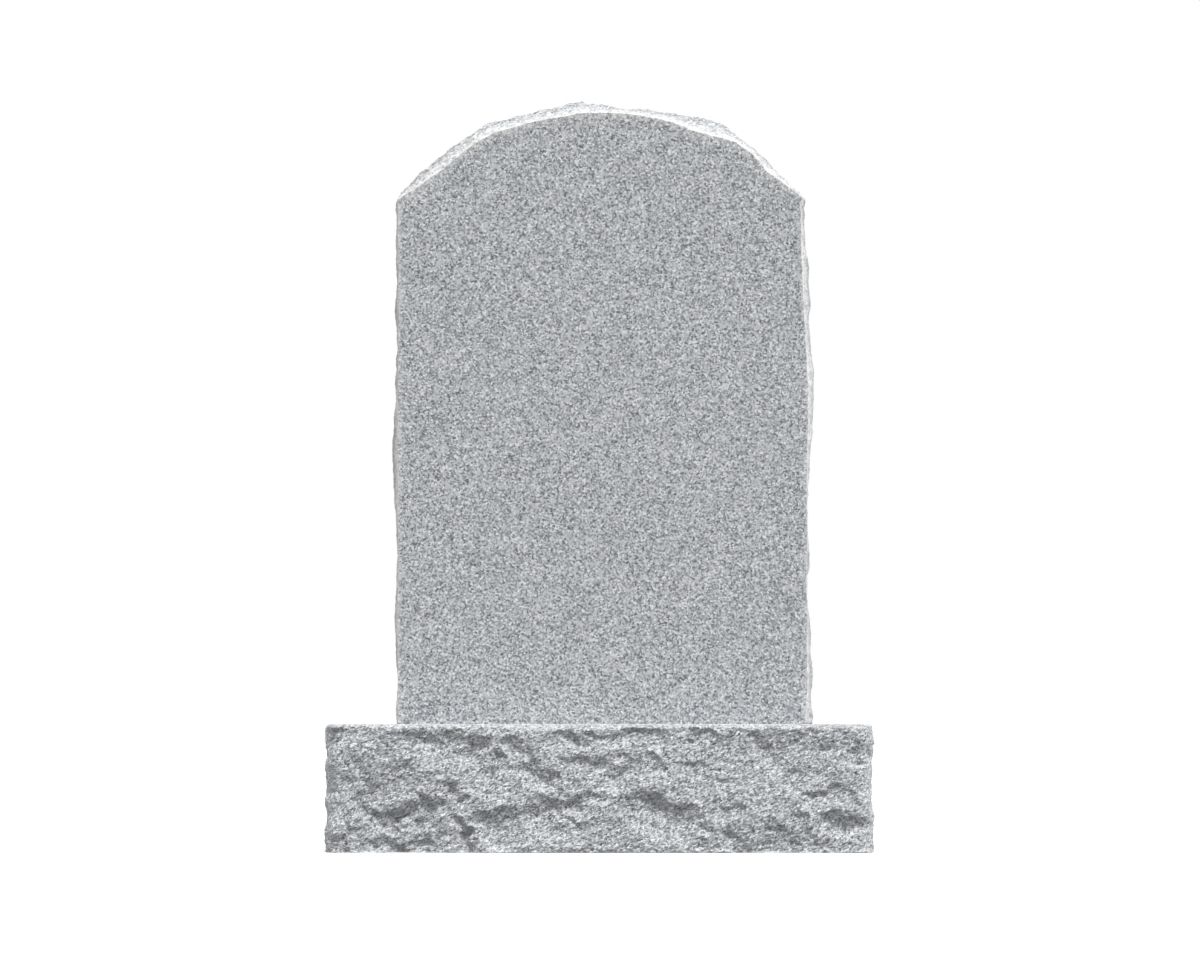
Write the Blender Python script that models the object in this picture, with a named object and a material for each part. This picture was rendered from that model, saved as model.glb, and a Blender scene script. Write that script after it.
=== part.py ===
"""Grave marker: a round-topped granite tablet that stands on a granite base.

Metres, +Z up, front towards -Y. The origin is at the centre of the base's underside.
Both stones have sawn flat faces, and all their other sides are rock pitched: a chisel, set along the
edge of a sawn face (the arris), has burst the waste off, and the broken stone swells out past that line.
Run it with blender --background --python part.py, or from Blender's text editor."""

from itertools import product
from math import asin, ceil, hypot, pi, radians, tan

import bmesh
import bpy
import numpy as np

# The base, measured between its top arrises: its pitched sides stand out past them
BASE_LENGTH = 0.804
BASE_DEPTH = 0.316
BASE_HEIGHT = 0.190
BASE_CORNER = 0.014
FRONT_SWELL = 0.012
END_SWELL = 0.0065
BACK_SWELL = 0.018
FOOT_SHARE = 0.9

# The tablet, measured between its arrises and up from the top of the base
TABLET_WIDTH = 0.613
TABLET_THICKNESS = 0.203
SHOULDER_HEIGHT = 0.793
ARCH_RISE = 0.129
TABLET_OFF_CENTRE = 0.003
SETTING_GAP = 0.0003

# How far the tablet's broken sides swell out past the straight line or the arc, at even steps up the
# left side, over the top and down the right side
LEFT_SWELL = (0.004, 0.003, 0.008, 0.006, 0.004, 0.011, 0.011, 0.008, 0.005, 0.006, 0.006, 0.005)
TOP_SWELL = (
    0.005, 0.011, 0.012, 0.018, 0.021, 0.028, 0.020, 0.017, 0.021, 0.025, 0.022,
    0.015, 0.017, 0.017, 0.023, 0.029, 0.022, 0.017, 0.009, 0.002, 0.001,
)
RIGHT_SWELL = (0.002, 0.005, 0.010, 0.010, 0.017, 0.014, 0.010, 0.005, 0.007, 0.005, 0.008, 0.011, 0.012)

# The same steps along the arrises themselves: how far they wander out, or in where the chisel bit deep
LEFT_ARRIS = (-0.001, -0.001, -0.001, 0.000, 0.000, 0.000, 0.001)
TOP_ARRIS = (
    -0.002, -0.008, -0.010, -0.007, -0.001, 0.001, -0.001, -0.001, -0.002, 0.000, 0.000,
    0.000, -0.001, -0.001, -0.004, -0.002, 0.005, 0.002, -0.008, -0.006, -0.003,
)
RIGHT_ARRIS = (-0.007, -0.006, 0.000, 0.004, 0.002, 0.001, 0.001, 0.002, -0.002)
ARRIS_WANDER = 0.0012
ARRIS_CELL = 0.030

# Flake scars on broken stone: the size of one along X, Y and Z, and its depth from ridge to bottom
FLAKES = (
    ((0.115, 0.085, 0.055), 0.015),
    ((0.052, 0.045, 0.026), 0.007),
)
FLAKE_LEVEL = 0.45
FLAKE_CLIMB = 0.25

# What makes their outlines crooked: the size of each bend and how far it moves them, and the share of it
# that moves the chosen scars
BENDS = ((0.055, 0.012), (0.024, 0.006))
SCAR_BEND = 0.6

# The largest scars on the front of the base. Places and sizes are shares of its length and height,
# from its left end and its underside: the lowest point across and up, half the length, the height
# above and below that point, then the climb to the right in degrees and the depth in metres
FRONT_SCARS = (
    (0.030, 0.01, 0.035, 0.28, 0.08, 0, 0.012),
    (0.040, 0.97, 0.090, 0.05, 0.31, 18, 0.005),
    (0.070, 0.34, 0.050, 0.09, 0.39, 10, 0.015),
    (0.080, 0.41, 0.145, 0.47, 0.36, 10, 0.012),
    (0.125, 0.30, 0.135, 0.16, 0.55, 6, 0.020),
    (0.130, 0.00, 0.140, 0.33, 0.03, 0, 0.022),
    (0.185, 0.84, 0.110, 0.16, 0.20, 0, 0.009),
    (0.185, 0.34, 0.040, 0.14, 0.39, -30, 0.016),
    (0.255, 0.09, 0.035, 0.17, 0.11, -42, 0.012),
    (0.310, 0.23, 0.065, 0.12, 0.27, 3, 0.010),
    (0.315, 0.65, 0.065, 0.11, 0.27, 5, 0.005),
    (0.380, 0.59, 0.065, 0.17, 0.09, -35, 0.008),
    (0.405, 0.30, 0.050, 0.17, 0.27, 0, 0.011),
    (0.455, 0.37, 0.050, 0.09, 0.14, 5, 0.007),
    (0.470, 0.67, 0.065, 0.08, 0.27, 0, 0.004),
    (0.545, 0.58, 0.045, 0.16, 0.11, 15, 0.007),
    (0.575, 0.90, 0.085, 0.08, 0.14, 0, 0.004),
    (0.595, 0.36, 0.065, 0.11, 0.31, -4, 0.010),
    (0.660, 0.23, 0.040, 0.14, 0.20, 20, 0.008),
    (0.740, 0.09, 0.035, 0.12, 0.08, 30, 0.009),
    (0.795, 0.80, 0.040, 0.16, 0.26, -5, 0.009),
    (0.830, 0.82, 0.185, 0.19, 0.51, 0, 0.005),
    (0.830, 0.00, 0.175, 0.33, 0.03, 0, 0.008),
    (0.920, 0.79, 0.050, 0.14, 0.14, 0, 0.006),
    (0.940, 0.22, 0.060, 0.12, 0.22, -3, 0.007),
)
SCAR_RIM = 0.0035
SCAR_HOLLOW = 1.2

# How much of the other flakes is left on each side: the small ones on the front, both on the rest
FRONT_SMALL = 0.4
END_FLAKES = 0.5
TABLET_FLAKES = 0.45

# How steeply broken stone rises from an arris: higher is fuller
BASE_FULLNESS = 40
TABLET_FULLNESS = 5

# Facets
FRONT_FACET = 0.012
FACET = 0.016
ROWS_DOWN_BASE = 16
ROWS_ACROSS_TABLET = 12

GRANITE_COLOUR = (0.42, 0.43, 0.45, 1.0)
GRANITE_ROUGHNESS = 0.8


def hashed(cells, seed):
    """Three random numbers from 0 to 1 for each cell of a grid, always the same for one seed."""
    mixed = cells @ np.array(((127.1, 269.5, 113.5), (311.7, 183.3, 271.9), (74.7, 246.1, 124.6))) + seed
    return np.modf(np.abs(np.sin(mixed)) * 43758.5453)[0]


def drift(points, cell, seed):
    """A smooth random swell from -1 to 1, with a wave in about two cells."""
    place = points / cell
    corner = np.floor(place)
    share = (place - corner) ** 2 * (3 - 2 * (place - corner))
    value = np.zeros(len(points))
    for step in product((0, 1), repeat=3):
        weight = np.prod(np.where(step, share, 1 - share), axis=1)
        value += weight * hashed(corner + step, seed)[:, 0]
    return 2 * value - 1


def bowls(points, cell, seed):
    """Scars side by side: 0 at the bottom of the nearest bowl, of which each cell has one, and 1 on a ridge."""
    place = points / cell
    corner = np.floor(place)
    lowest = np.ones(len(points))
    for step in product((-1, 0, 1), repeat=3):
        here = corner + step
        lowest = np.minimum(lowest, ((place - here - hashed(here, seed)) ** 2).sum(axis=1))
    return lowest


def front_scars(points):
    """How deep the chosen scars of the base's front cut at each point: each is a bowl, steeper above or below."""
    across = points[:, 0] / BASE_LENGTH + 0.5
    up = points[:, 2] / BASE_HEIGHT
    lowest = np.full(len(points), SCAR_RIM)
    for middle, bottom, half, above, below, climb, depth in FRONT_SCARS:
        off = up - bottom - (across - middle) * tan(radians(climb)) * BASE_LENGTH / BASE_HEIGHT
        reach = np.hypot((across - middle) / half, off / np.where(off > 0, above, below))
        lowest = np.minimum(lowest, (depth + SCAR_RIM) * reach ** SCAR_HOLLOW - depth)
    return lowest


def bend(points, seed):
    """The points moved a little at random, so that the scars looked up there come out crooked."""
    bent = points.copy()
    for order, (cell, reach) in enumerate(BENDS):
        bent += reach * np.stack([drift(points, cell, seed + 3 * order + axis) for axis in range(3)], axis=1)
    return bent


def flaked(points, seed):
    """How far broken stone stands out or in at each point, where large and small flakes have left it."""
    bent = bend(points, seed)
    climbing = bent - np.outer(bent[:, 0], (0, 0, FLAKE_CLIMB))
    return [
        depth * (bowls(climbing, np.array(cell), seed + order) - FLAKE_LEVEL)
        for order, (cell, depth) in enumerate(FLAKES)
    ]


def base_break(points, seed):
    """The base's broken stone: its own scars on the front, and only flakes on the other sides."""
    large, small = flaked(points, seed)
    front = np.clip((BASE_CORNER - BASE_DEPTH / 2 - points[:, 1]) / BASE_CORNER, 0, 1)
    chosen = front_scars(points + SCAR_BEND * (bend(points, seed) - points))
    return front * (chosen + FRONT_SMALL * small) + (1 - front) * END_FLAKES * (large + small)


def outward(outline):
    """The direction out of a closed outline at each point, square to the line between its neighbours."""
    way = np.roll(outline, -1, axis=0) - np.roll(outline, 1, axis=0)
    out = np.stack((way[:, 1], -way[:, 0]), axis=1)
    return out / np.linalg.norm(out, axis=1)[:, None]


def at_steps(values, count):
    """A list of values at even steps, read at count even steps with the last one left out."""
    return np.interp(np.arange(count) / count, np.linspace(0, 1, len(values)), values)


def row_shares(count):
    """Shares of the way from one sawn face to the other, closer together near the arrises."""
    even = np.linspace(0, 1, count + 1)
    return (even + 0.5 - 0.5 * np.cos(pi * even)) / 2


def fullness(share, far, power):
    """How much of its swell broken stone has at a share of the way: none at the near arris, far at the other."""
    return 1 - (1 if share < 0.5 else 1 - far) * abs(1 - 2 * share) ** power


def solid(name, rings, location):
    """A closed stone: each ring of points joined to the next, and flat faces on the first and the last."""
    work = bmesh.new()
    loops = [[work.verts.new(point) for point in ring] for ring in rings]
    for near, far in zip(loops, loops[1:]):
        for step in range(len(near)):
            work.faces.new((near[step - 1], near[step], far[step], far[step - 1]))
    work.faces.new(loops[0])
    work.faces.new(loops[-1])
    bmesh.ops.recalc_face_normals(work, faces=work.faces)
    mesh = bpy.data.meshes.new(name)
    work.to_mesh(mesh)
    work.free()
    stone = bpy.data.objects.new(name, mesh)
    stone.location = location
    bpy.context.collection.objects.link(stone)
    mesh.materials.append(granite(name))
    return stone


def granite(name):
    material = bpy.data.materials.new(f"{name} granite")
    material.use_nodes = True
    surface = material.node_tree.nodes["Principled BSDF"]
    surface.inputs["Base Color"].default_value = GRANITE_COLOUR
    surface.inputs["Roughness"].default_value = GRANITE_ROUGHNESS
    surface.inputs["Metallic"].default_value = 0.0
    return material


def base():
    """The base: horizontal rings from its sawn top down to its sawn underside."""
    length, depth = BASE_LENGTH / 2, BASE_DEPTH / 2
    corners = (
        (BASE_CORNER - length, -depth, FRONT_SWELL),
        (length - BASE_CORNER, -depth, FRONT_SWELL),
        (length, BASE_CORNER - depth, END_SWELL),
        (length, depth - BASE_CORNER, END_SWELL),
        (length - BASE_CORNER, depth, BACK_SWELL),
        (BASE_CORNER - length, depth, BACK_SWELL),
        (-length, depth - BASE_CORNER, END_SWELL),
        (-length, BASE_CORNER - depth, END_SWELL),
    )
    stations = []
    for start, end in zip(np.array(corners), np.array(corners[1:] + corners[:1])):
        facet = FRONT_FACET if start[2] == end[2] == FRONT_SWELL else FACET
        count = ceil(hypot(*(end - start)[:2]) / facet)
        stations += [start + (end - start) * step / count for step in range(count)]
    outline, swell = np.array(stations)[:, :2], np.array(stations)[:, 2]
    rings = []
    for share in row_shares(ROWS_DOWN_BASE):
        height = np.full((len(outline), 1), BASE_HEIGHT * (1 - share))
        points = np.hstack((outline, height))
        full = fullness(share, FOOT_SHARE, BASE_FULLNESS)
        out = full * (swell + base_break(points, seed=11))
        out += (1 - full) * ARRIS_WANDER * drift(points, ARRIS_CELL, seed=5)
        rings.append(np.hstack((outline + out[:, None] * outward(outline), height)))
    rings = np.array(rings)
    rings[:, :, :2] -= (rings.max(axis=(0, 1)) + rings.min(axis=(0, 1)))[:2] / 2
    return solid("base", rings, (0, 0, 0))


def tablet():
    """The tablet: upright rings from its sawn front back to its sawn back, each closed along the foot."""
    half = TABLET_WIDTH / 2
    radius = (half ** 2 + ARCH_RISE ** 2) / (2 * ARCH_RISE)
    reach = asin(half / radius)
    side = ceil(SHOULDER_HEIGHT / FACET)
    top = ceil(2 * reach * radius / FRONT_FACET)
    up = SHOULDER_HEIGHT * np.arange(side) / side
    angle = reach * (2 * np.arange(top) / top - 1)
    outline = np.vstack((
        np.stack((np.full(side, -half), up), axis=1),
        np.stack((radius * np.sin(angle), SHOULDER_HEIGHT + ARCH_RISE - radius + radius * np.cos(angle)), axis=1),
        np.stack((np.full(side + 1, half), SHOULDER_HEIGHT - np.append(up, SHOULDER_HEIGHT)), axis=1),
    ))
    swell = np.concatenate((at_steps(LEFT_SWELL, side), at_steps(TOP_SWELL, top), at_steps(RIGHT_SWELL, side + 1)))
    arris = np.concatenate((at_steps(LEFT_ARRIS, side), at_steps(TOP_ARRIS, top), at_steps(RIGHT_ARRIS, side + 1)))
    out_way = -outward(outline)
    out_way[0] = (-1, 0)
    out_way[-1] = (1, 0)
    rings = []
    for share in row_shares(ROWS_ACROSS_TABLET):
        back = np.full(len(outline), TABLET_THICKNESS * (share - 0.5))
        points = np.stack((outline[:, 0], back, outline[:, 1]), axis=1)
        full = fullness(share, 0, TABLET_FULLNESS)
        out = full * (swell + TABLET_FLAKES * sum(flaked(points, seed=23)))
        out += (1 - full) * (arris + ARRIS_WANDER * drift(points, ARRIS_CELL, seed=7))
        moved = outline + out[:, None] * out_way
        rings.append(np.stack((moved[:, 0], back, moved[:, 1]), axis=1))
    return solid("tablet", rings, (TABLET_OFF_CENTRE, 0, BASE_HEIGHT + SETTING_GAP))


for leftover in list(bpy.data.objects):
    bpy.data.objects.remove(leftover)

base()
tablet()
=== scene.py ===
"""A grave marker of light grey granite: a round-topped tablet that stands on a base, seen square on.

Metres, +Z up, front towards -Y. The solids have both stones' outlines and larger scars. The same stones are
made here again with all their fracture: flake scars first, then ever finer breaks, and the crystals last."""

from itertools import product
from math import asin, ceil, hypot, pi, radians, tan

import bmesh
import bpy
import numpy as np
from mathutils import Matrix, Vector


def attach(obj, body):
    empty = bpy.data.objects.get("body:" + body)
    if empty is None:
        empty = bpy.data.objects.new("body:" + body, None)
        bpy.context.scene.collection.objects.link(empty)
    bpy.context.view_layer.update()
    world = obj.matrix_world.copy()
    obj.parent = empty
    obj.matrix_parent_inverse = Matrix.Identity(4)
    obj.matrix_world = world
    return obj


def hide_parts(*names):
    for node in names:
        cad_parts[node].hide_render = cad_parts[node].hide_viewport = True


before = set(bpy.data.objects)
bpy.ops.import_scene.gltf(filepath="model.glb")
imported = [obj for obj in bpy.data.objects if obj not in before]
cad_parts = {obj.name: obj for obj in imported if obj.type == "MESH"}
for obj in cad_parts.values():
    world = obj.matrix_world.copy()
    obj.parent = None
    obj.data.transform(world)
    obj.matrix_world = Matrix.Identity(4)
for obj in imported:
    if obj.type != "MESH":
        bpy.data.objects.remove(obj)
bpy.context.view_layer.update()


# The base: one block of granite, 32 inches long. Its top and underside are sawn. Its four sides are rock
# pitched: a chisel set along the top's edge has burst the waste off, and the stone behind it swells out.
BASE_LENGTH = 0.804
BASE_DEPTH = 0.316
BASE_HEIGHT = 0.190
BASE_CORNER = 0.014

# How far each side swells out, the share of that which is left at the foot, and how soon it fills out below
# the top's arris: the larger the number, the sooner
FRONT_SWELL = 0.012
END_SWELL = 0.0065
BACK_SWELL = 0.018
FOOT_SHARE = 0.9
BASE_FULLNESS = 40

# The arrises aren't quite straight: the size of a wander and of a chip along them, and how far each goes.
# The base's are more ragged than the tablet's.
ARRIS_WANDER = (0.030, 0.0012)
ARRIS_CHIP = (0.007, 0.0007)
BASE_RAGGED = 1.8

# Flake scars: the size of one along X, Y and Z, and its depth from ridge to bottom
FLAKES = (
    ((0.115, 0.085, 0.055), 0.015),
    ((0.052, 0.045, 0.026), 0.007),
)
FLAKE_LEVEL = 0.45
FLAKE_CLIMB = 0.25

# What makes their outlines crooked: the size of each bend and how far it moves them
BENDS = ((0.055, 0.012), (0.024, 0.006))
CROOKS = ((0.016, 0.0085), (0.0065, 0.0042))

# The scars that the front shows, as shares of the base's length and height from its left end and its
# underside: the lowest point across and up, half the length, the height above and below that point, then
# the climb to the right in degrees and the depth in metres
FRONT_SCARS = (
    (0.030, 0.01, 0.035, 0.28, 0.08, 0, 0.012),
    (0.040, 0.97, 0.090, 0.05, 0.31, 18, 0.005),
    (0.070, 0.34, 0.050, 0.09, 0.39, 10, 0.015),
    (0.080, 0.41, 0.145, 0.47, 0.36, 10, 0.012),
    (0.120, 0.62, 0.020, 0.11, 0.09, -20, 0.007),
    (0.125, 0.30, 0.135, 0.16, 0.55, 6, 0.020),
    (0.130, 0.00, 0.140, 0.33, 0.03, 0, 0.022),
    (0.185, 0.84, 0.110, 0.16, 0.20, 0, 0.009),
    (0.185, 0.34, 0.040, 0.14, 0.39, -30, 0.016),
    (0.220, 0.47, 0.035, 0.11, 0.09, -10, 0.005),
    (0.255, 0.39, 0.025, 0.05, 0.16, 0, 0.003),
    (0.255, 0.09, 0.035, 0.17, 0.11, -42, 0.012),
    (0.275, 0.76, 0.040, 0.16, 0.11, 10, 0.008),
    (0.310, 0.23, 0.065, 0.12, 0.27, 3, 0.010),
    (0.315, 0.65, 0.065, 0.11, 0.27, 5, 0.005),
    (0.355, 0.76, 0.040, 0.16, 0.09, -10, 0.007),
    (0.380, 0.59, 0.065, 0.17, 0.09, -35, 0.008),
    (0.405, 0.30, 0.050, 0.17, 0.27, 0, 0.011),
    (0.450, 0.20, 0.035, 0.08, 0.14, 0, 0.003),
    (0.455, 0.90, 0.065, 0.08, 0.12, 2, 0.004),
    (0.455, 0.37, 0.050, 0.09, 0.14, 5, 0.007),
    (0.470, 0.67, 0.065, 0.08, 0.27, 0, 0.004),
    (0.545, 0.58, 0.045, 0.16, 0.11, 15, 0.007),
    (0.575, 0.90, 0.085, 0.08, 0.14, 0, 0.004),
    (0.595, 0.36, 0.065, 0.11, 0.31, -4, 0.010),
    (0.605, 0.66, 0.035, 0.09, 0.11, 3, 0.004),
    (0.660, 0.23, 0.040, 0.14, 0.20, 20, 0.008),
    (0.680, 0.94, 0.045, 0.08, 0.10, 0, 0.008),
    (0.695, 0.63, 0.050, 0.09, 0.20, 0, 0.003),
    (0.695, 0.20, 0.020, 0.07, 0.09, 0, 0.004),
    (0.730, 0.55, 0.050, 0.07, 0.14, 28, 0.003),
    (0.740, 0.09, 0.035, 0.12, 0.08, 30, 0.009),
    (0.745, 0.36, 0.040, 0.06, 0.12, 22, 0.002),
    (0.790, 0.50, 0.060, 0.06, 0.16, 20, 0.002),
    (0.795, 0.80, 0.040, 0.16, 0.26, -5, 0.009),
    (0.830, 0.82, 0.185, 0.19, 0.51, 0, 0.005),
    (0.830, 0.00, 0.175, 0.33, 0.03, 0, 0.008),
    (0.855, 0.84, 0.035, 0.11, 0.11, 10, 0.006),
    (0.865, 0.60, 0.035, 0.16, 0.11, 20, 0.007),
    (0.870, 0.27, 0.050, 0.10, 0.14, -5, 0.004),
    (0.890, 0.12, 0.025, 0.12, 0.08, 20, 0.009),
    (0.910, 0.46, 0.070, 0.05, 0.16, 15, 0.006),
    (0.920, 0.79, 0.050, 0.14, 0.14, 0, 0.006),
    (0.940, 0.22, 0.060, 0.12, 0.22, -3, 0.007),
    (0.975, 0.73, 0.020, 0.16, 0.12, 0, 0.007),
)

# The height of the ridges between them, how hollow they are (1 is a straight-sided pit, 2 a round bowl), how
# much of the large bends they follow, and how uneven their depth is: the size of a patch and its share
SCAR_RIM = 0.0035
SCAR_HOLLOW = 1.2
SCAR_BEND = 0.6
SCAR_CRAG = (0.022, 0.35)

# How much of the flakes is left on each side: the small ones on the front, both on the rest
FRONT_SMALL = 0.4
END_FLAKES = 0.5

# The mesh: the steps along the front and the other sides, and the rows from the top down to the foot
FRONT_STEP = 0.0018
SIDE_STEP = 0.0035
BASE_ROWS = 100

# Broken stone is fully rough this far from its arris. Near the arris it is painted white: partly stone that
# the chisel has bruised, partly a painted highlight on the rim that faces the light. The numbers are how far
# that white reaches over the broken side and how white it is. Into the sawn faces it fades over a strip,
# whose width is a share of half the length and half the depth. The foot's strip clears the broken outline.
ROUGH_START = 0.005
BASE_BRUISE_AND_HIGHLIGHT = (0.005, 0.6)
TOP_INWARD = (0.018, 0.044)
FOOT_INWARD = (0.050, 0.130)


def hashed(cells, seed):
    """Three random numbers from 0 to 1 for each cell of a grid, always the same for one seed."""
    mixed = cells @ np.array(((127.1, 269.5, 113.5), (311.7, 183.3, 271.9), (74.7, 246.1, 124.6))) + seed
    return np.modf(np.abs(np.sin(mixed)) * 43758.5453)[0]


def drift(points, cell, seed):
    """A smooth random swell from -1 to 1, with a wave in about two cells."""
    place = points / cell
    corner = np.floor(place)
    share = (place - corner) ** 2 * (3 - 2 * (place - corner))
    value = np.zeros(len(points))
    for step in product((0, 1), repeat=3):
        weight = np.prod(np.where(step, share, 1 - share), axis=1)
        value += weight * hashed(corner + step, seed)[:, 0]
    return 2 * value - 1


def bowls(points, cell, seed):
    """Scars side by side, one to a cell: 0 at the bottom of the nearest bowl, and up to 1 on a ridge."""
    place = points / cell
    corner = np.floor(place)
    lowest = np.ones(len(points))
    for step in product((-1, 0, 1), repeat=3):
        here = corner + step
        lowest = np.minimum(lowest, ((place - here - hashed(here, seed)) ** 2).sum(axis=1))
    return lowest


def front_scars(points):
    """How deep the listed scars of the front cut at each point: each is a bowl, steeper above or below."""
    across = points[:, 0] / BASE_LENGTH + 0.5
    up = points[:, 2] / BASE_HEIGHT
    lowest = np.full(len(points), SCAR_RIM)
    uneven = 1 + SCAR_CRAG[1] * drift(points, SCAR_CRAG[0], seed=41)
    for middle, bottom, half, above, below, climb, depth in FRONT_SCARS:
        off = up - bottom - (across - middle) * tan(radians(climb)) * BASE_LENGTH / BASE_HEIGHT
        reach = np.hypot((across - middle) / half, off / np.where(off > 0, above, below))
        cut = depth * uneven
        lowest = np.minimum(lowest, (cut + SCAR_RIM) * reach ** SCAR_HOLLOW - cut)
    return lowest


def bend(points, waves, seed):
    """The points moved a little at random, so that the scars looked up there come out crooked."""
    bent = points.copy()
    for order, (cell, reach) in enumerate(waves):
        bent += reach * np.stack([drift(points, cell, seed + 3 * order + axis) for axis in range(3)], axis=1)
    return bent


def flaked(points, seed):
    """How far broken stone stands out or in at each point, where large and small flakes have left it."""
    bent = bend(points, BENDS, seed)
    climbing = bent - np.outer(bent[:, 0], (0, 0, FLAKE_CLIMB))
    return [
        depth * (bowls(climbing, np.array(cell), seed + order) - FLAKE_LEVEL)
        for order, (cell, depth) in enumerate(FLAKES)
    ]


def base_break(points, seed):
    """The base's broken stone: its own scars on the front, and only flakes on the other sides."""
    large, small = flaked(points, seed)
    front = np.clip((BASE_CORNER - BASE_DEPTH / 2 - points[:, 1]) / BASE_CORNER, 0, 1)
    crooked = bend(points, CROOKS, seed + 20)
    chosen = front_scars(crooked + SCAR_BEND * (bend(points, BENDS, seed) - points))
    return front * (chosen + FRONT_SMALL * small) + (1 - front) * END_FLAKES * (large + small)


def arris_line(points, seed):
    """How far an arris wanders out or in, chips and all."""
    return sum(reach * drift(points, cell, seed) for cell, reach in (ARRIS_WANDER, ARRIS_CHIP))


def outward(outline):
    """The direction out of a closed outline at each point, square to the line between its neighbours."""
    way = np.roll(outline, -1, axis=0) - np.roll(outline, 1, axis=0)
    out = np.stack((way[:, 1], -way[:, 0]), axis=1)
    return out / np.linalg.norm(out, axis=1)[:, None]


def row_shares(count):
    """Shares of the way from one sawn face to the other, closer together near the arrises."""
    even = np.linspace(0, 1, count + 1)
    return (even + 0.5 - 0.5 * np.cos(pi * even)) / 2


def fullness(share, far, power):
    """How much of its swell a side has at a share of the way: none at the near arris, far at the other."""
    return 1 - (1 if share < 0.5 else 1 - far) * abs(1 - 2 * share) ** power


def stone(name, rings, insides, bruise_and_highlight, craggy, place=(0, 0, 0)):
    """A closed stone: rings of points joined to each other, and a sawn face inside the first and the last.

    The attribute "broken" is 1 on the faces between the rings and 0 on the sawn ones. "rough" is 0 on an
    arris and rises to craggy in the break. The attribute for the white near the arrises, which is crushed
    stone together with a painted highlight on the rims, is highest on an arris and fades to 0 to both sides."""
    work = bmesh.new()
    rough = work.verts.layers.float.new("rough")
    crushed_and_highlit = work.verts.layers.float.new("bruise_and_highlight")
    broken = work.faces.layers.int.new("broken")
    rings = [insides[0], *rings, insides[1]]
    loops = [[work.verts.new(Vector(point) + Vector(place)) for point in ring] for ring in rings]
    for order, (near, far) in enumerate(zip(loops, loops[1:])):
        is_side = 0 < order < len(loops) - 2
        for step in range(len(near)):
            face = work.faces.new((near[step - 1], near[step], far[step], far[step - 1]))
            face.smooth = is_side
            face[broken] = int(is_side)
    for loop in (loops[0], loops[-1]):
        middle = work.verts.new(sum((vertex.co for vertex in loop), Vector()) / len(loop))
        for step in range(len(loop)):
            work.faces.new((loop[step - 1], loop[step], middle))
    reach, whitest = bruise_and_highlight
    for ring, loop in zip(rings[1:-1], loops[1:-1]):
        off = np.min([np.linalg.norm(ring - end, axis=1) for end in (rings[1], rings[-2])], axis=0)
        for vertex, distance, crag in zip(loop, off, craggy):
            vertex[rough] = crag * min(1, distance / ROUGH_START)
            vertex[crushed_and_highlit] = whitest * max(0, 1 - distance / reach) if crag else 0
    bmesh.ops.recalc_face_normals(work, faces=work.faces)
    mesh = bpy.data.meshes.new(name)
    work.to_mesh(mesh)
    work.free()
    made = bpy.data.objects.new(name, mesh)
    bpy.context.collection.objects.link(made)
    return made


half_length, half_depth = BASE_LENGTH / 2, BASE_DEPTH / 2
corners = (
    (BASE_CORNER - half_length, -half_depth, FRONT_SWELL),
    (half_length - BASE_CORNER, -half_depth, FRONT_SWELL),
    (half_length, BASE_CORNER - half_depth, END_SWELL),
    (half_length, half_depth - BASE_CORNER, END_SWELL),
    (half_length - BASE_CORNER, half_depth, BACK_SWELL),
    (BASE_CORNER - half_length, half_depth, BACK_SWELL),
    (-half_length, half_depth - BASE_CORNER, END_SWELL),
    (-half_length, BASE_CORNER - half_depth, END_SWELL),
)
stations = []
for start, end in zip(np.array(corners), np.array(corners[1:] + corners[:1])):
    step = FRONT_STEP if start[2] == end[2] == FRONT_SWELL else SIDE_STEP
    count = ceil(hypot(*(end - start)[:2]) / step)
    stations += [start + (end - start) * order / count for order in range(count)]
base_outline, base_swell = np.array(stations)[:, :2], np.array(stations)[:, 2]
base_out = np.hstack((outward(base_outline), np.zeros((len(base_outline), 1))))
base_rings = []
for share in row_shares(BASE_ROWS):
    points = np.hstack((base_outline, np.full((len(base_outline), 1), BASE_HEIGHT * (1 - share))))
    full = fullness(share, FOOT_SHARE, BASE_FULLNESS)
    out = full * (base_swell + base_break(points, seed=11))
    out += (1 - full) * BASE_RAGGED * arris_line(points, seed=5)
    base_rings.append(points + out[:, None] * base_out)
base_rings = np.array(base_rings)
off_centre = (base_rings.max(axis=(0, 1)) + base_rings.min(axis=(0, 1))) / 2 * (1, 1, 0)
base_rings -= off_centre
base_insides = [
    np.hstack((base_outline * (1 - np.array(inward)), np.full((len(base_outline), 1), height))) - off_centre
    for height, inward in ((BASE_HEIGHT, TOP_INWARD), (0, FOOT_INWARD))
]
base = stone("base_stone", base_rings, base_insides, BASE_BRUISE_AND_HIGHLIGHT, np.ones(len(base_outline)))


# The fine break of granite: smaller and smaller flakes inside the scars, down to single crystals torn out,
# drawn out along a slope that climbs to the right, as the blow ran. The sawn faces and the arrises have none.
BREAK_SLOPE = radians(20)
BREAK_DRAWN = (0.36, 0.8, 1.7)
BREAK_LEVEL = 0.6
BASE_BREAK = {"Flake size": 0.012, "Flake depth": 0.0029, "Seed": 3.0}

# How many orders of flakes there are, and the size and the depth of each as a share of the one before. They
# are bent by a noise this many times their size, and each order has a seed of its own.
BREAK_ORDERS = 3
NEXT_SIZE = 0.5
NEXT_DEPTH = 0.7
NEXT_SEED = 3.7
FLAKE_CROOK = 2.0

# Taken off a noise or a random number, so that it goes both ways from 0
HALF = (0.5, 0.5, 0.5)


def add(tree, kind, inputs=None, **settings):
    """A node with its settings; an input is a value to hold or another node's output to link."""
    node = tree.nodes.new(kind)
    for name, value in settings.items():
        setattr(node, name, value)
    for name, value in (inputs or {}).items():
        socket = node.inputs[name] if isinstance(name, int) else next(
            other for other in node.inputs if other.name == name and other.enabled
        )
        if isinstance(value, bpy.types.NodeSocket):
            tree.links.new(value, socket)
        else:
            socket.default_value = value
    return node


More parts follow.
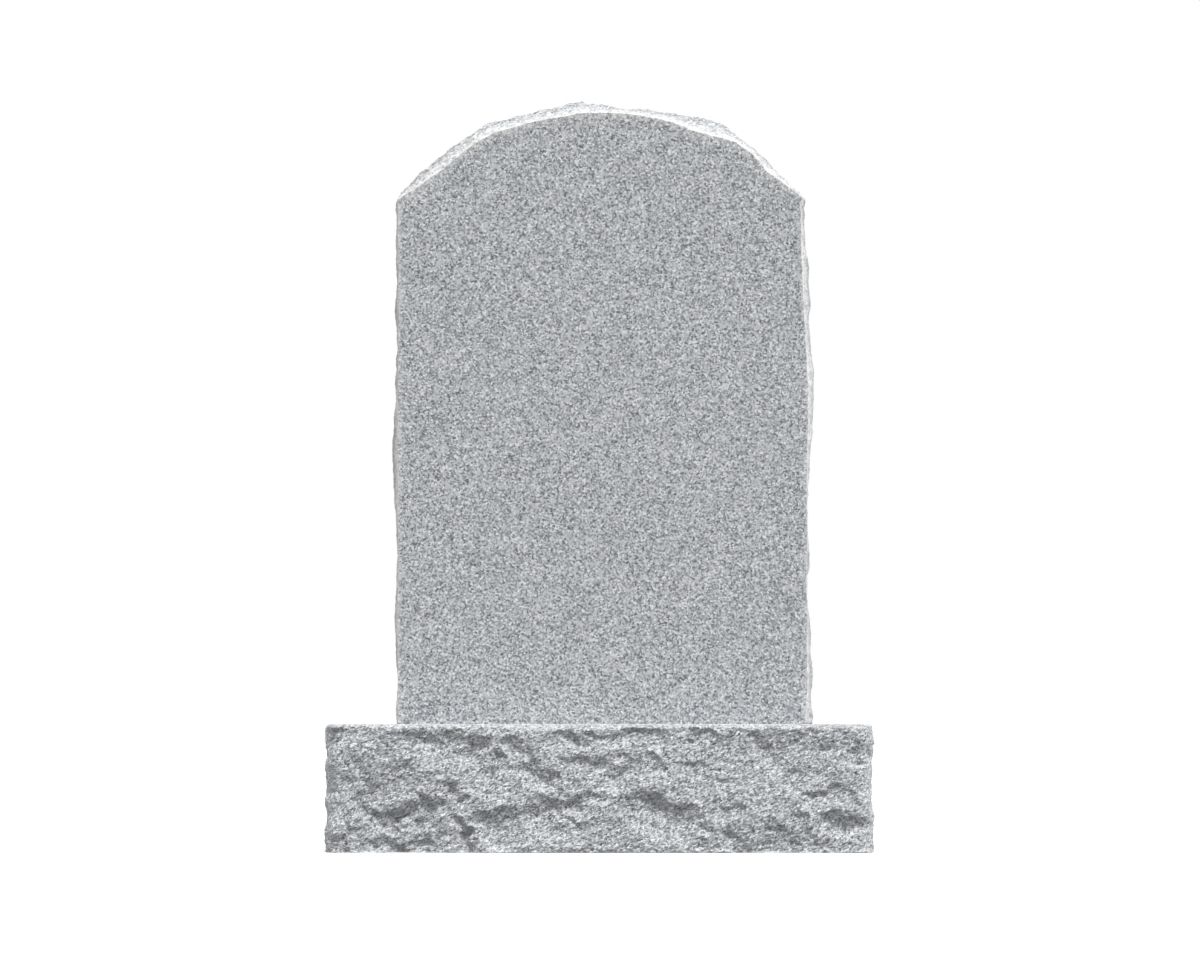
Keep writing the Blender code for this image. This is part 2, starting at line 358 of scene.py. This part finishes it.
def fine_break():
    """Geometry Nodes that move each point along its normal by the attribute "rough" times the break there."""
    tree = bpy.data.node_groups.new("Fine break", "GeometryNodeTree")
    tree.interface.new_socket("Geometry", in_out="OUTPUT", socket_type="NodeSocketGeometry")
    tree.interface.new_socket("Geometry", in_out="INPUT", socket_type="NodeSocketGeometry")
    for name, high in (("Flake size", 0.1), ("Flake depth", 0.02), ("Seed", 100)):
        socket = tree.interface.new_socket(name, in_out="INPUT", socket_type="NodeSocketFloat")
        socket.min_value, socket.max_value = 0, high
    for name in ("Sawn", "Broken"):
        tree.interface.new_socket(name, in_out="INPUT", socket_type="NodeSocketMaterial")
    given = add(tree, "NodeGroupInput").outputs
    position = add(tree, "GeometryNodeInputPosition").outputs[0]
    size, depth, total = given["Flake size"], given["Flake depth"], 0.0
    for order in range(BREAK_ORDERS):
        scale = add(tree, "ShaderNodeMath", {0: 1.0, 1: size}, operation="DIVIDE").outputs[0]
        own = {0: given["Seed"], 1: NEXT_SEED * order}
        seed = add(tree, "ShaderNodeMath", own, operation="ADD").outputs[0]
        waves = {"Vector": position, "Scale": scale, "W": seed, "Detail": 2.0}
        noise = add(tree, "ShaderNodeTexNoise", waves, noise_dimensions="4D").outputs["Color"]
        either = add(tree, "ShaderNodeVectorMath", {0: noise, 1: HALF}, operation="SUBTRACT").outputs[0]
        reach = add(tree, "ShaderNodeMath", {0: size, 1: FLAKE_CROOK}, operation="MULTIPLY").outputs[0]
        moved = {0: either, 1: reach, 2: position}
        bent = add(tree, "ShaderNodeVectorMath", moved, operation="MULTIPLY_ADD").outputs[0]
        turn = {"Vector": bent, "Angle": BREAK_SLOPE}
        turned = add(tree, "ShaderNodeVectorRotate", turn, rotation_type="Y_AXIS").outputs[0]
        stretch = {0: turned, 1: BREAK_DRAWN}
        drawn = add(tree, "ShaderNodeVectorMath", stretch, operation="MULTIPLY").outputs[0]
        flakes = {"Vector": drawn, "Scale": scale, "W": seed}
        cell = add(tree, "ShaderNodeTexVoronoi", flakes, voronoi_dimensions="4D").outputs["Distance"]
        bowl = add(tree, "ShaderNodeMath", {0: cell, 1: BREAK_LEVEL}, operation="SUBTRACT").outputs[0]
        deeper = {0: bowl, 1: depth, 2: total}
        total = add(tree, "ShaderNodeMath", deeper, operation="MULTIPLY_ADD").outputs[0]
        size = add(tree, "ShaderNodeMath", {0: size, 1: NEXT_SIZE}, operation="MULTIPLY").outputs[0]
        depth = add(tree, "ShaderNodeMath", {0: depth, 1: NEXT_DEPTH}, operation="MULTIPLY").outputs[0]
    rough = add(tree, "GeometryNodeInputNamedAttribute", {"Name": "rough"}, data_type="FLOAT").outputs[0]
    height = add(tree, "ShaderNodeMath", {0: total, 1: rough}, operation="MULTIPLY").outputs[0]
    normal = add(tree, "GeometryNodeInputNormal").outputs[0]
    offset = add(tree, "ShaderNodeVectorMath", {0: normal, "Scale": height}, operation="SCALE").outputs[0]
    raised = add(tree, "GeometryNodeSetPosition", {"Geometry": given["Geometry"], "Offset": offset})
    whole = add(tree, "GeometryNodeRealizeInstances", {"Geometry": raised.outputs[0]})
    broken = add(tree, "GeometryNodeInputNamedAttribute", {"Name": "broken"}, data_type="INT").outputs[0]
    sawn = add(tree, "GeometryNodeSetMaterial", {"Geometry": whole.outputs[0], "Material": given["Sawn"]})
    sides = {"Geometry": sawn.outputs[0], "Selection": broken, "Material": given["Broken"]}
    add(tree, "NodeGroupOutput", {"Geometry": add(tree, "GeometryNodeSetMaterial", sides).outputs[0]})
    return tree


# Light grey granite: crystals of pale and white feldspar, grey quartz and a little near-black biotite, each
# about 2 mm across and crooked where it meets its neighbours. Near the arrises it turns white in patches:
# partly stone crushed by a blow, partly a painted highlight where the rims face the light.
GRAIN = 0.0023
GRAIN_CROOK = 0.003
MEAN = "#AEB1B5"
BIOTITE = "#4E5054"
QUARTZ = "#8D9093"
FELDSPAR = "#C2C4C7"
WHITE_FELDSPAR = "#E9EAEB"

# Where each kind starts and ends among the crystals, put in order from dark to light
CRYSTALS = (
    (0.00, BIOTITE), (0.08, BIOTITE), (0.14, QUARTZ), (0.40, QUARTZ),
    (0.48, FELDSPAR), (0.82, FELDSPAR), (0.92, WHITE_FELDSPAR),
)

# The white near the arrises, crushed stone with a painted highlight: its colour, the size of a patch, the
# noise at the weakest patch and at the strongest, and how white the weakest is as a share of the strongest
CRUSHED_WHITE_AND_HIGHLIGHT = "#FAF9F7"
BRUISE_AND_HIGHLIGHT_PATCH = 0.012
BRUISE_AND_HIGHLIGHT_NOISE = (0.35, 0.65)
BRUISE_AND_HIGHLIGHT_WEAKEST = 0.3


def linear(colour):
    """An sRGB hex colour as the linear values that a node takes."""
    values = [int(colour[place:place + 2], 16) / 255 for place in (1, 3, 5)]
    return [v / 12.92 if v <= 0.04045 else ((v + 0.055) / 1.055) ** 2.4 for v in values] + [1.0]


def crystals(tree, place):
    """On a material's nodes, the crystal that a place lies in: its three random numbers and its colour."""
    crooks = {"Vector": place, "Scale": 1 / GRAIN_CROOK, "Detail": 2.0}
    noise = add(tree, "ShaderNodeTexNoise", crooks).outputs["Color"]
    either = add(tree, "ShaderNodeVectorMath", {0: noise, 1: HALF}, operation="SUBTRACT").outputs[0]
    moved = {0: either, 1: (GRAIN_CROOK, GRAIN_CROOK, GRAIN_CROOK), 2: place}
    bent = add(tree, "ShaderNodeVectorMath", moved, operation="MULTIPLY_ADD").outputs[0]
    numbers = add(tree, "ShaderNodeTexVoronoi", {"Vector": bent, "Scale": 1 / GRAIN}).outputs["Color"]
    kind = add(tree, "ShaderNodeSeparateColor", {"Color": numbers}).outputs["Red"]
    ramp = add(tree, "ShaderNodeValToRGB", {"Fac": kind})
    ramp.color_ramp.elements.remove(ramp.color_ramp.elements[1])
    ramp.color_ramp.elements[0].color = linear(BIOTITE)
    for at, colour in CRYSTALS[1:]:
        ramp.color_ramp.elements.new(at).color = linear(colour)
    return numbers, ramp.outputs["Color"]


def bruised_and_highlit(tree, colour, share):
    """The colour turned white near the arrises, in patches, by up to a share: crushed stone with a painted
    highlight on the rims.
    """
    place = add(tree, "ShaderNodeTexCoord").outputs["Object"]
    patch_noise = {"Vector": place, "Scale": 1 / BRUISE_AND_HIGHLIGHT_PATCH, "Detail": 4.0, "Roughness": 0.7}
    patch = {"Value": add(tree, "ShaderNodeTexNoise", patch_noise).outputs[0]}
    low, high = BRUISE_AND_HIGHLIGHT_NOISE
    patch.update({"From Min": low, "From Max": high, "To Min": BRUISE_AND_HIGHLIGHT_WEAKEST * share, "To Max": share})
    much = add(tree, "ShaderNodeMapRange", patch).outputs[0]
    near = add(tree, "ShaderNodeAttribute", attribute_name="bruise_and_highlight").outputs["Fac"]
    white = add(tree, "ShaderNodeMath", {0: near, 1: much}, operation="MULTIPLY").outputs[0]
    mix = {"Factor": white, "A": colour, "B": linear(CRUSHED_WHITE_AND_HIGHLIGHT)}
    return add(tree, "ShaderNodeMix", mix, data_type="RGBA").outputs[2]


# Steeled granite: sawn, then ground flat with steel grit and never polished, so that the face is matt and
# even, and its crystals show as fine grey speckles with hardly any relief.
STEELED_CONTRAST = 0.85
STEELED_RELIEF = 0.0001
# How white the sawn faces turn next to an arris: crushed stone with a painted highlight.
STEELED_BRUISE_AND_HIGHLIGHT = 0.3
STEELED_ROUGHNESS = 0.75


def steeled_granite():
    """The finish of the sawn faces."""
    finish = bpy.data.materials.new("steeled_granite")
    finish.use_nodes = True
    tree, surface = finish.node_tree, finish.node_tree.nodes["Principled BSDF"]
    place = add(tree, "ShaderNodeTexCoord").outputs["Object"]
    numbers, colour = crystals(tree, place)
    even = {"Factor": STEELED_CONTRAST, "A": linear(MEAN), "B": colour}
    muted = add(tree, "ShaderNodeMix", even, data_type="RGBA").outputs[2]
    tree.links.new(bruised_and_highlit(tree, muted, STEELED_BRUISE_AND_HIGHLIGHT), surface.inputs["Base Color"])
    relief = {"Height": numbers, "Strength": 1.0, "Distance": STEELED_RELIEF}
    tree.links.new(add(tree, "ShaderNodeBump", relief).outputs["Normal"], surface.inputs["Normal"])
    surface.inputs["Roughness"].default_value = STEELED_ROUGHNESS
    return finish


# Rock-pitched granite: each crystal on the break has its own slant and gloss, so that some catch the light
# and their neighbours don't. Broken stone is a little lighter than ground stone, its crystals and the fine
# ridges through them are drawn out along the slope of the break, and its arrises are painted white: crushed
# by the chisel, with a painted highlight on the rims.
PITCHED_CONTRAST = 0.7
FRESH = 1.13
TORN = (0.75, 1.0, 1.2)
SLANT = 0.85
CRUSHED_SLANT = 0.55
PITCHED_BRUISE_AND_HIGHLIGHT = 0.9
PITCHED_ROUGHNESS = (0.35, 0.9)
RIDGE_SIZE = 0.005
RIDGE_HEIGHT = 0.0024
RIDGE_DRAWN = (0.6, 0.8, 1.4)


def rock_pitched_granite():
    """The finish of the broken sides."""
    finish = bpy.data.materials.new("rock_pitched_granite")
    finish.use_nodes = True
    tree, surface = finish.node_tree, finish.node_tree.nodes["Principled BSDF"]
    place = add(tree, "ShaderNodeTexCoord").outputs["Object"]
    turn = {"Vector": place, "Angle": BREAK_SLOPE}
    turned = add(tree, "ShaderNodeVectorRotate", turn, rotation_type="Y_AXIS").outputs[0]
    torn = add(tree, "ShaderNodeVectorMath", {0: turned, 1: TORN}, operation="MULTIPLY").outputs[0]
    numbers, colour = crystals(tree, torn)
    even = {"Factor": PITCHED_CONTRAST, "A": linear(MEAN), "B": colour}
    muted = add(tree, "ShaderNodeMix", even, data_type="RGBA").outputs[2]
    fresh = add(tree, "ShaderNodeVectorMath", {0: muted, "Scale": FRESH}, operation="SCALE").outputs[0]
    tree.links.new(bruised_and_highlit(tree, fresh, PITCHED_BRUISE_AND_HIGHLIGHT), surface.inputs["Base Color"])
    lean = add(tree, "ShaderNodeVectorMath", {0: numbers, 1: HALF}, operation="SUBTRACT").outputs[0]
    normal = add(tree, "ShaderNodeNewGeometry").outputs["Normal"]
    slant = {"Value": add(tree, "ShaderNodeAttribute", attribute_name="bruise_and_highlight").outputs["Fac"]}
    slant.update({"From Min": 0.0, "From Max": 1.0, "To Min": SLANT, "To Max": CRUSHED_SLANT * SLANT})
    much = add(tree, "ShaderNodeMapRange", slant).outputs[0]
    tilted = {0: lean, 1: much, 2: normal}
    leaning = add(tree, "ShaderNodeVectorMath", tilted, operation="MULTIPLY_ADD").outputs[0]
    facing = add(tree, "ShaderNodeVectorMath", {0: leaning}, operation="NORMALIZE").outputs[0]
    drawn = add(tree, "ShaderNodeVectorMath", {0: turned, 1: RIDGE_DRAWN}, operation="MULTIPLY").outputs[0]
    waves = {"Vector": drawn, "Scale": 1 / RIDGE_SIZE, "Detail": 3.0, "Roughness": 0.6}
    ridges = add(tree, "ShaderNodeTexNoise", waves).outputs[0]
    relief = {"Height": ridges, "Strength": 1.0, "Distance": RIDGE_HEIGHT, "Normal": facing}
    tree.links.new(add(tree, "ShaderNodeBump", relief).outputs["Normal"], surface.inputs["Normal"])
    gloss = {"Value": add(tree, "ShaderNodeSeparateColor", {"Color": numbers}).outputs["Green"]}
    glossiest, dullest = PITCHED_ROUGHNESS
    gloss.update({"From Min": 0.0, "From Max": 1.0, "To Min": glossiest, "To Max": dullest})
    tree.links.new(add(tree, "ShaderNodeMapRange", gloss).outputs[0], surface.inputs["Roughness"])
    return finish


steeled = steeled_granite()
pitched = rock_pitched_granite()


def dress(made, node, settings):
    """The fine break and the granite put on a stone as a plain mesh, which then stands for its CAD node."""
    modifier = made.modifiers.new("Fine break", "NODES")
    modifier.node_group = fine_break()
    named = {item.name: item.identifier for item in modifier.node_group.interface.items_tree}
    for name, value in {**settings, "Sawn": steeled, "Broken": pitched}.items():
        modifier[named[name]] = value
    finished = bpy.data.meshes.new_from_object(made.evaluated_get(bpy.context.evaluated_depsgraph_get()))
    made.modifiers.clear()
    made.data = finished
    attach(made, "root")
    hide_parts(node)


dress(base, "base", BASE_BREAK)


# The tablet: a slab 8 inches thick, its front and back sawn and steeled, its top and sides rock pitched like
# the base, more finely along the sides. It stands on the base by its own weight.
TABLET_WIDTH = 0.613
TABLET_THICKNESS = 0.203
SHOULDER_HEIGHT = 0.793
ARCH_RISE = 0.129
TABLET_OFF_CENTRE = 0.003
SETTING_GAP = 0.0003
TABLET_FULLNESS = 5
TABLET_FLAKES = 0.45
TABLET_BREAK = {"Flake size": 0.014, "Flake depth": 0.0055, "Seed": 8.0}
# How far the white reaches from the tablet's arrises and how white it is: crushed stone, and a painted
# highlight where the rims face the light above.
TABLET_BRUISE_AND_HIGHLIGHT = (0.030, 1.0)
FACE_INWARD = 0.022

# How craggy the sides are next to the top, over what height that changes at the shoulder, and how far above
# its sawn foot a side is rough
SIDE_CRAGS = 0.35
SHOULDER_BLEND = 0.02
FOOT_BLEND = 0.004

# How far its broken sides swell out past the straight line or the arc, at even steps up the left side,
# over the top and down the right side
LEFT_SWELL = (0.004, 0.003, 0.008, 0.006, 0.004, 0.011, 0.011, 0.008, 0.005, 0.006, 0.006, 0.005)
TOP_SWELL = (
    0.005, 0.011, 0.012, 0.018, 0.021, 0.028, 0.020, 0.017, 0.021, 0.025, 0.022,
    0.015, 0.017, 0.017, 0.023, 0.029, 0.022, 0.017, 0.009, 0.002, 0.001,
)
RIGHT_SWELL = (0.002, 0.005, 0.010, 0.010, 0.017, 0.014, 0.010, 0.005, 0.007, 0.005, 0.008, 0.011, 0.012)

# The same steps along the arrises themselves: how far they wander out, or in where the chisel bit deep
LEFT_ARRIS = (-0.001, -0.001, -0.001, 0.000, 0.000, 0.000, 0.001)
TOP_ARRIS = (
    -0.002, -0.008, -0.010, -0.007, -0.001, 0.001, -0.001, -0.001, -0.002, 0.000, 0.000,
    0.000, -0.001, -0.001, -0.004, -0.002, 0.005, 0.002, -0.008, -0.006, -0.003,
)
RIGHT_ARRIS = (-0.007, -0.006, 0.000, 0.004, 0.002, 0.001, 0.001, 0.002, -0.002)

# The mesh: the step along the outline, and the rows from front to back
TABLET_STEP = 0.0026
TABLET_ROWS = 80


def at_steps(values, count):
    """A list of values at even steps, read at count even steps with the last one left out."""
    return np.interp(np.arange(count) / count, np.linspace(0, 1, len(values)), values)


half_width = TABLET_WIDTH / 2
radius = (half_width ** 2 + ARCH_RISE ** 2) / (2 * ARCH_RISE)
half_arch = asin(half_width / radius)
side = ceil(SHOULDER_HEIGHT / TABLET_STEP)
top = ceil(2 * half_arch * radius / TABLET_STEP)
up = SHOULDER_HEIGHT * np.arange(side) / side
angle = half_arch * (2 * np.arange(top) / top - 1)
arch_height = SHOULDER_HEIGHT + ARCH_RISE - radius + radius * np.cos(angle)
tablet_outline = np.vstack((
    np.stack((np.full(side, -half_width), up), axis=1),
    np.stack((radius * np.sin(angle), arch_height), axis=1),
    np.stack((np.full(side + 1, half_width), SHOULDER_HEIGHT - np.append(up, SHOULDER_HEIGHT)), axis=1),
))
around = len(tablet_outline)
tablet_swell, arris = (
    np.concatenate((at_steps(left, side), at_steps(over, top), at_steps(right, side + 1)))
    for left, over, right in ((LEFT_SWELL, TOP_SWELL, RIGHT_SWELL), (LEFT_ARRIS, TOP_ARRIS, RIGHT_ARRIS))
)
tablet_way = -outward(tablet_outline)
tablet_way[0] = (-1, 0)
tablet_way[-1] = (1, 0)
tablet_out = np.stack((tablet_way[:, 0], np.zeros(around), tablet_way[:, 1]), axis=1)
tablet_rings = []
for share in row_shares(TABLET_ROWS):
    back = TABLET_THICKNESS * (share - 0.5)
    points = np.stack((tablet_outline[:, 0], np.full(around, back), tablet_outline[:, 1]), axis=1)
    full = fullness(share, 0, TABLET_FULLNESS)
    out = full * (tablet_swell + TABLET_FLAKES * sum(flaked(points, seed=23)))
    out += (1 - full) * (arris + arris_line(points, seed=7))
    tablet_rings.append(points + out[:, None] * tablet_out)
tablet_rings = np.array(tablet_rings)
tablet_insides = []
for back in (-TABLET_THICKNESS / 2, TABLET_THICKNESS / 2):
    edge = np.stack((tablet_outline[:, 0], np.full(around, back), tablet_outline[:, 1]), axis=1)
    edge += arris[:, None] * tablet_out
    face_middle = np.array((0, back, SHOULDER_HEIGHT / 2))
    tablet_insides.append(face_middle + (1 - FACE_INWARD) * (edge - face_middle))
crag_heights = (0, FOOT_BLEND, SHOULDER_HEIGHT - SHOULDER_BLEND, SHOULDER_HEIGHT + SHOULDER_BLEND)
craggy = np.interp(tablet_outline[:, 1], crag_heights, (0, SIDE_CRAGS, SIDE_CRAGS, 1))
standing = (TABLET_OFF_CENTRE, 0, BASE_HEIGHT + SETTING_GAP)
tablet = stone("tablet_stone", tablet_rings, tablet_insides, TABLET_BRUISE_AND_HIGHLIGHT, craggy, standing)
dress(tablet, "tablet", TABLET_BREAK)


# The floor: a wide matt sheet, pale enough to come out white and lit a little from inside. It throws no light
# back on the stones: the room does that.
FLOOR_HALF = 30
PAPER = "#F2F2F2"
PAPER_ROUGHNESS = 0.9
PAPER_GLOW = 0.35
floor_mesh = bpy.data.meshes.new("floor")
floor_corners = [(x * FLOOR_HALF, y * FLOOR_HALF, 0) for x, y in ((-1, -1), (1, -1), (1, 1), (-1, 1))]
floor_mesh.from_pydata(floor_corners, [], [(0, 1, 2, 3)])
floor = bpy.data.objects.new("floor", floor_mesh)
bpy.context.collection.objects.link(floor)
paper = bpy.data.materials.new("white_paper")
paper.use_nodes = True
sheet = paper.node_tree.nodes["Principled BSDF"]
sheet.inputs["Base Color"].default_value = linear(PAPER)
sheet.inputs["Roughness"].default_value = PAPER_ROUGHNESS
sheet.inputs["Specular IOR Level"].default_value = 0
sheet.inputs["Emission Color"].default_value = (1, 1, 1, 1)
sheet.inputs["Emission Strength"].default_value = PAPER_GLOW
floor_mesh.materials.append(paper)
floor.visible_diffuse = False


# The light: a wide soft light high in front and a little to the right, and a white room that is brighter at
# the sides than in front, so that the broken sides of the stones don't go dark.
KEY_HEIGHT = radians(62)
KEY_TURN = radians(9)
KEY_STRENGTH = 3.5
KEY_WIDTH = radians(20)
lamp = bpy.data.lights.new("key", "SUN")
lamp.energy = KEY_STRENGTH
lamp.angle = KEY_WIDTH
key = bpy.data.objects.new("key", lamp)
key.rotation_euler = (pi / 2 - KEY_HEIGHT, 0, KEY_TURN)
bpy.context.collection.objects.link(key)

# The room's light in front, what each side adds to it, and what the right side has more than the left. The
# camera sees it plain white.
ROOM_FRONT = 0.05
ROOM_SIDES = 1.4
ROOM_RIGHT = 0.25
world = bpy.data.worlds.new("room")
world.use_nodes = True
room = world.node_tree
all_round = add(room, "ShaderNodeTexCoord").outputs["Generated"]
across = add(room, "ShaderNodeSeparateXYZ", {0: all_round}).outputs["X"]
squared = add(room, "ShaderNodeMath", {0: across, 1: across}, operation="MULTIPLY").outputs[0]
brighter = {0: squared, 1: ROOM_SIDES, 2: ROOM_FRONT}
both = add(room, "ShaderNodeMath", brighter, operation="MULTIPLY_ADD").outputs[0]
more = {0: across, 1: ROOM_RIGHT, 2: both}
glow = add(room, "ShaderNodeMath", more, operation="MULTIPLY_ADD").outputs[0]
seen = add(room, "ShaderNodeLightPath").outputs["Is Camera Ray"]
strength = add(room, "ShaderNodeMix", {0: seen, 2: glow, 3: 1.0}).outputs[0]
background = room.nodes["Background"]
background.inputs["Color"].default_value = (1, 1, 1, 1)
room.links.new(strength, background.inputs["Strength"])
bpy.context.scene.world = world
bpy.context.scene.view_settings.view_transform = "Standard"


# The camera: square on, six metres away and level with the base's top, looking up a little, so that only the
# fronts of both stones show and the broken rims stand out around the tablet's.
CAMERA_PLACE = (0, -6.178, 0.191)
CAMERA_TILT = radians(3.35)
CAMERA_LENS = 121.5
camera_data = bpy.data.cameras.new("camera")
camera_data.lens = CAMERA_LENS
camera = bpy.data.objects.new("camera", camera_data)
camera.location = CAMERA_PLACE
camera.rotation_euler = (pi / 2 + CAMERA_TILT, 0, 0)
bpy.context.collection.objects.link(camera)
bpy.context.scene.camera = camera
